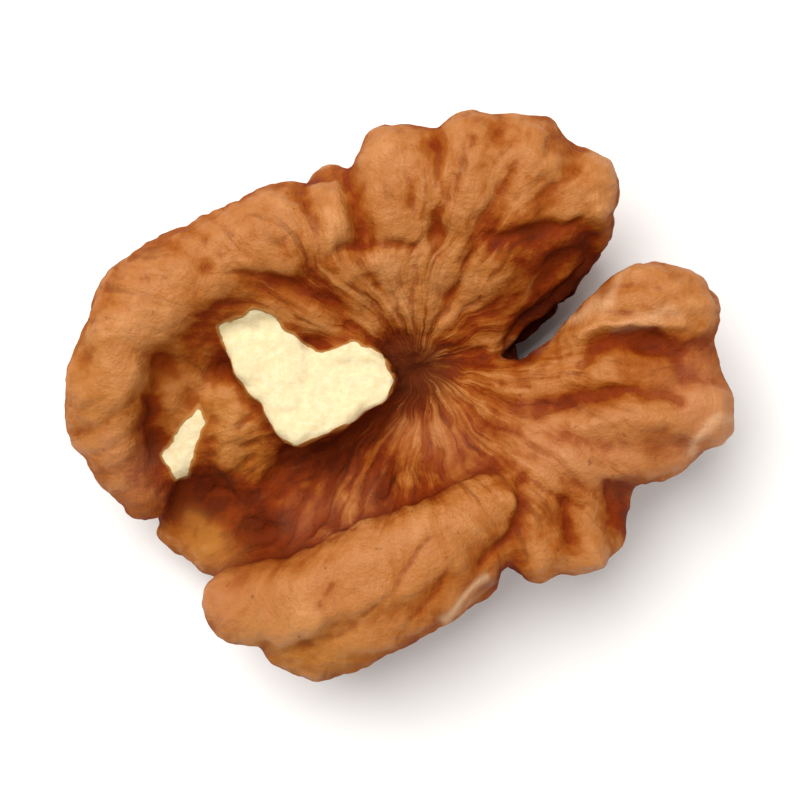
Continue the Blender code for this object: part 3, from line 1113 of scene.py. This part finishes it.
@dataclass(frozen=True)
class SkinFinish:
    """The kernel's thin brown seed skin, and the pale flesh where it is broken.

    Colours are linear. The first five make one scale, from a pale crest down to the bottom of a pit.
    Each is partly the skin's own tone and partly painted light and shade: the finish walks down the scale in
    creases, pits and shut-in places, and up it on open crests.
    Lengths are in metres.

    Attributes:
        fold_gain: how much the relief of the folds raises a point on that scale of colours, which darkens
            creases
            and lightens crests: partly the skin's tone, partly painted shade and light.
        lobe_gain: how much the relief of the lobes raises it, likewise partly the skin's tone and partly
            painted shade and light.
        usual_openness: the openness that neither raises nor lowers it.
        sky_shade_gain: how much more openness raises it, and less lowers it: painted shade where the folds
            shut out the sky.
        spot_gain: how much the mottling moves it.
        red_and_shade_gain: how much a place of the red tone is lowered on that scale: a redder tone, and
            painted shade where the place lies in shade.
        sheen: the weight of the gloss on the crests.
        gloss_blur: the roughness of that gloss.
        reflection: how strongly the skin under it reflects.
        glow: the share of the light that spreads under the surface.
        glow_depth: how far it spreads, for each colour times glow_colours.
    """

    pale: Colour = (0.57, 0.252, 0.085, 1.0)
    crest: Colour = (0.42, 0.147, 0.030, 1.0)
    slope: Colour = (0.30, 0.072, 0.006, 1.0)
    crease: Colour = (0.20, 0.025, 0.001, 1.0)
    pit: Colour = (0.10, 0.011, 0.001, 1.0)
    pink: Colour = (0.50, 0.20, 0.095, 1.0)
    yellow: Colour = (0.44, 0.19, 0.030, 1.0)
    vein: Colour = (0.085, 0.018, 0.005, 1.0)
    flesh: Colour = (0.76, 0.665, 0.425, 1.0)
    flesh_shade: Colour = (0.70, 0.56, 0.30, 1.0)
    torn_edge: Colour = (0.46, 0.21, 0.05, 1.0)
    stroke: Colour = (0.52, 0.22, 0.070, 1.0)
    worn_and_highlight: Colour = (0.74, 0.47, 0.27, 1.0)
    speck: Colour = (0.13, 0.03, 0.006, 1.0)
    fold_gain: float = 0.40
    lobe_gain: float = 0.34
    usual_openness: float = 0.84
    sky_shade_gain: float = 1.4
    spot_gain: float = 1.4
    red_and_shade_gain: float = 0.75
    roughness: float = 0.42
    flesh_roughness: float = 0.7
    sheen: float = 0.34
    gloss_blur: float = 0.34
    reflection: float = 0.08
    glow: float = 0.12
    glow_colours: tuple[float, float, float] = (1.0, 0.4, 0.15)
    glow_depth: float = 0.9 * MM
    bump: float = 0.6
    bump_depth: float = 0.16 * MM

    def build(self) -> bpy.types.Material:
        """Makes the material.

        Returns:
            A material that reads the skin's attributes and Object coordinates.
        """
        material = bpy.data.materials.new("walnut_skin")
        material.use_nodes = True
        material.node_tree.nodes.clear()
        n = SkinNodes(material.node_tree)
        height = self._height(n)
        crumbs = n.noise(n.place, 2400.0, 4.0, 0.65)
        torn = n.product(n.less(n.noise(n.place, 1500.0, 2.0), 0.5), 0.18)
        ragged = n.total(n.read("flesh"), torn)
        bare = n.ramp(ragged, -0.02, 0.05)
        covered = n.less(1.0, bare)
        rim = n.product(n.ramp(ragged, -0.22, -0.04), covered)
        # The flesh is darker where the crumbs' noise is low, where their bump lies low too: painted shade in
        # the crumbs' hollows.
        meat = n.blend(n.ramp(crumbs, 0.62, 0.4, 0.0, 0.6), self.flesh, self.flesh_shade)
        colour = n.blend(n.product(rim, 0.7), self._brown(n, height), self.torn_edge)
        rough = n.ramp(n.mottle, 0.3, 0.7, self.roughness - 0.08, self.roughness + 0.12)
        rough = n.total(rough, n.ramp(n.openness, 0.95, 0.55, 0.0, 0.35))
        normal = self._fine_relief(n, crumbs, bare)
        shader = n.add("BsdfPrincipled")
        values = {
            "Base Color": n.blend(bare, colour, meat),
            "Roughness": n.ramp(bare, 0.0, 1.0, rough, self.flesh_roughness),
            "Normal": normal,
            "Coat Normal": normal,
            "Coat Weight": n.product(n.ramp(height, 0.0, 0.6, 0.0, self.sheen), covered),
            "Coat Roughness": self.gloss_blur,
            "Specular IOR Level": self.reflection,
            "Subsurface Weight": self.glow,
            "Subsurface Radius": self.glow_colours,
            "Subsurface Scale": self.glow_depth,
        }
        for name, value in values.items():
            n.feed(shader.inputs[name], value)
        output = n.add("OutputMaterial")
        n.feed(output.inputs["Surface"], shader.outputs["BSDF"])
        return material

    def _height(self, n: SkinNodes) -> Socket:
        """How high each point stands on the scale of the skin's colours, from about -1.3 in a pit to 1.2.

        Args:
            n: the material's nodes.

        Returns:
            The value's socket.
        """
        patches = n.noise(n.place, 330.0, 3.0, 0.55)
        spots = n.total(n.less(patches, 0.5), n.less(n.mottle, 0.5))
        lines = n.total(n.less(n.streaks, 0.5), n.less(n.coarse, 0.5))
        return n.total(
            # Creases darker and crests lighter: partly the skin's tone, partly painted shade and light.
            n.product(n.read("relief_fold"), self.fold_gain),
            n.product(n.read("relief_lobe"), self.lobe_gain),
            # Painted shade: the colour falls down the scale where the folds round a point shut out the sky.
            n.product(n.less(n.openness, self.usual_openness), self.sky_shade_gain),
            n.product(spots, self.spot_gain, n.plain),
            n.product(lines, n.ramp(n.reach, 1.3, 0.3, 0.9, 2.2), n.inner),
            n.product(n.read(Tone.RED.value), -self.red_and_shade_gain),
        )

    def _brown(self, n: SkinNodes, height: Socket) -> Socket:
        """The colour of the whole skin, each step laid over the ones before.

        Args:
            n: the material's nodes.
            height: where each point stands on the scale of the skin's colours, painted shade and light
                included.

        Returns:
            The colour's socket.
        """
        lines = n.product(n.ramp(n.streaks, 0.43, 0.34), n.inner, n.plain)
        strokes = n.product(n.ramp(n.streaks, 0.58, 0.68), n.inner, n.ramp(height, -0.9, 0.1, 0.3, 1.0))
        specks = n.ramp(n.noise(n.place, 1900.0, 2.0), 0.70, 0.76)
        spot = n.ramp(n.total(n.reach, n.product(n.streaks, 0.35)), 0.37, 0.14)
        # The first four steps follow the height, so they lay painted shade in creases and pits and painted
        # light on open crests over the skin's own tones.
        steps = (
            (n.ramp(height, -1.3, -0.55), self.crease),
            (n.ramp(height, -0.65, -0.1), self.slope),
            (n.ramp(height, -0.2, 0.5), self.crest),
            (n.ramp(height, 0.45, 1.2, 0.0, 0.65), self.pale),
            (n.product(n.read(Tone.PINK.value), 0.45), self.pink),
            (n.product(n.read(Tone.YELLOW.value), 0.5), self.yellow),
            (n.product(lines, n.ramp(n.reach, 1.3, 0.3, 0.25, 0.5)), self.vein),
            (n.product(strokes, n.ramp(n.reach, 1.5, 0.6, 0.14, 0.32)), self.stroke),
            # Painted shade in the fine creases, partly the skin's own darker tone there.
            (n.ramp(n.read("relief_fine"), -0.15, -0.9, 0.0, 0.45), self.crease),
            # Thin pale lines on edges: partly rubbed skin, partly a painted highlight.
            (n.product(n.read(Tone.WORN_AND_HIGHLIGHT.value), 0.75), self.worn_and_highlight),
            (n.product(specks, 0.5), self.speck),
            (n.product(spot, 0.72), self.vein),
        )
        colour = self.pit
        for share, laid in steps:
            colour = n.blend(share, colour, laid)
        return colour

    def _fine_relief(self, n: SkinNodes, crumbs: Socket, bare: Socket) -> Socket:
        """The relief too fine for the net: streaks, wrinkles and pores on the skin, crumbs on bare flesh.

        Args:
            n: the material's nodes.
            crumbs: the flesh's noise.
            bare: 1 where the flesh is bare.

        Returns:
            The normal's socket.
        """
        pores = n.noise(n.place, 6500.0, 3.0, 0.6)
        wrinkles = n.noise(n.place, 2100.0, 4.0, 0.6)
        skin = n.total(n.product(n.streaks, 1.1), n.product(wrinkles, 1.7), n.product(pores, 0.5))
        skin = n.product(skin, n.less(1.0, n.product(bare, 0.8)))
        node = n.add("Bump")
        n.feed(node.inputs["Height"], n.total(skin, n.product(crumbs, n.product(bare, 0.7))))
        n.feed(node.inputs["Strength"], self.bump)
        n.feed(node.inputs["Distance"], self.bump_depth)
        return node.outputs["Normal"]


@dataclass(frozen=True)
class Lamp:
    """One square soft light that looks at the kernel, in metres and watts."""

    name: str
    place: tuple[float, float, float]
    size: float
    power: float
    tint: tuple[float, float, float]

    def hang(self) -> None:
        """Makes the light and turns it to the kernel."""
        lamp = bpy.data.lights.new(self.name, "AREA")
        lamp.shape = "SQUARE"
        lamp.size = self.size
        lamp.energy = self.power
        lamp.color = self.tint
        holder = add_object(self.name, lamp)
        holder.location = self.place
        holder.rotation_euler = (-Vector(self.place)).to_track_quat("-Z", "Y").to_euler()


@dataclass(frozen=True)
class Studio:
    """The pale floor, the soft light and the camera that looks straight down, as in the photograph.

    The floor is in metres, and the camera's lens and sensor in millimetres.

    Attributes:
        room_colour: the colour of the light from all round.
        fill: the share of the view's width that the kernel takes up.
        level: the height that this is measured at, as a share of the kernel's.
    """

    floor_size: float = 1.6
    floor_colour: Colour = (0.9, 0.9, 0.9, 1.0)
    floor_roughness: float = 0.6
    lamps: tuple[Lamp, ...] = (
        Lamp("key", (-0.13, 0.16, 0.42), 0.34, 2.7, (1.0, 0.97, 0.93)),
        Lamp("fill", (0.3, -0.18, 0.36), 0.4, 0.55, (1.0, 0.98, 0.96)),
    )
    room_colour: Colour = (1.0, 0.985, 0.97, 1.0)
    room_light: float = 0.38
    lens: float = 100.0
    sensor: float = 36.0
    fill: float = 0.84
    level: float = 0.7

    def build(self) -> None:
        """Makes the floor, the lights, the world and the camera."""
        self._floor()
        for lamp in self.lamps:
            lamp.hang()
        world = bpy.data.worlds.new("soft_room")
        world.use_nodes = True
        room = world.node_tree.nodes["Background"]
        room.inputs["Color"].default_value = self.room_colour
        room.inputs["Strength"].default_value = self.room_light
        bpy.context.scene.world = world
        bpy.context.scene.view_settings.view_transform = "Standard"
        self._camera()

    def _floor(self) -> None:
        """Lays the floor under the kernel, as a staged plane."""
        mesh = bpy.data.meshes.new("floor")
        half = self.floor_size / 2
        corners = [(-half, -half, 0), (half, -half, 0), (half, half, 0), (-half, half, 0)]
        mesh.from_pydata(corners, [], [(0, 1, 2, 3)])
        material = bpy.data.materials.new("pale_table")
        material.use_nodes = True
        shader = material.node_tree.nodes["Principled BSDF"]
        shader.inputs["Base Color"].default_value = self.floor_colour
        shader.inputs["Roughness"].default_value = self.floor_roughness
        mesh.materials.append(material)
        add_object("floor", mesh)

    def _camera(self) -> None:
        """Sets the camera straight above the kernel, near enough for it to fill most of the frame."""
        low, high = CAD_BOX
        eye = bpy.data.cameras.new("overhead")
        eye.sensor_width = self.sensor
        eye.lens = self.lens
        eye.clip_start = 0.01
        holder = add_object("overhead", eye)
        span = max(high.x - low.x, high.y - low.y) / self.fill
        distance = span * self.lens / self.sensor
        middle = (low + high) / 2
        holder.location = (middle.x, middle.y, high.z * self.level + distance)
        bpy.context.scene.camera = holder


def main() -> None:
    """Builds the kernel and the studio, and notes the sizes."""
    logging.basicConfig(level=logging.INFO)
    skin = KernelForm().build()
    skin.data.materials.append(SkinFinish().build())
    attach(skin, "root")
    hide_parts("kernel")
    LOG.info("piece %s: %d faces", skin.name, len(skin.data.polygons))
    Studio().build()


if __name__ == "__main__":
    main()
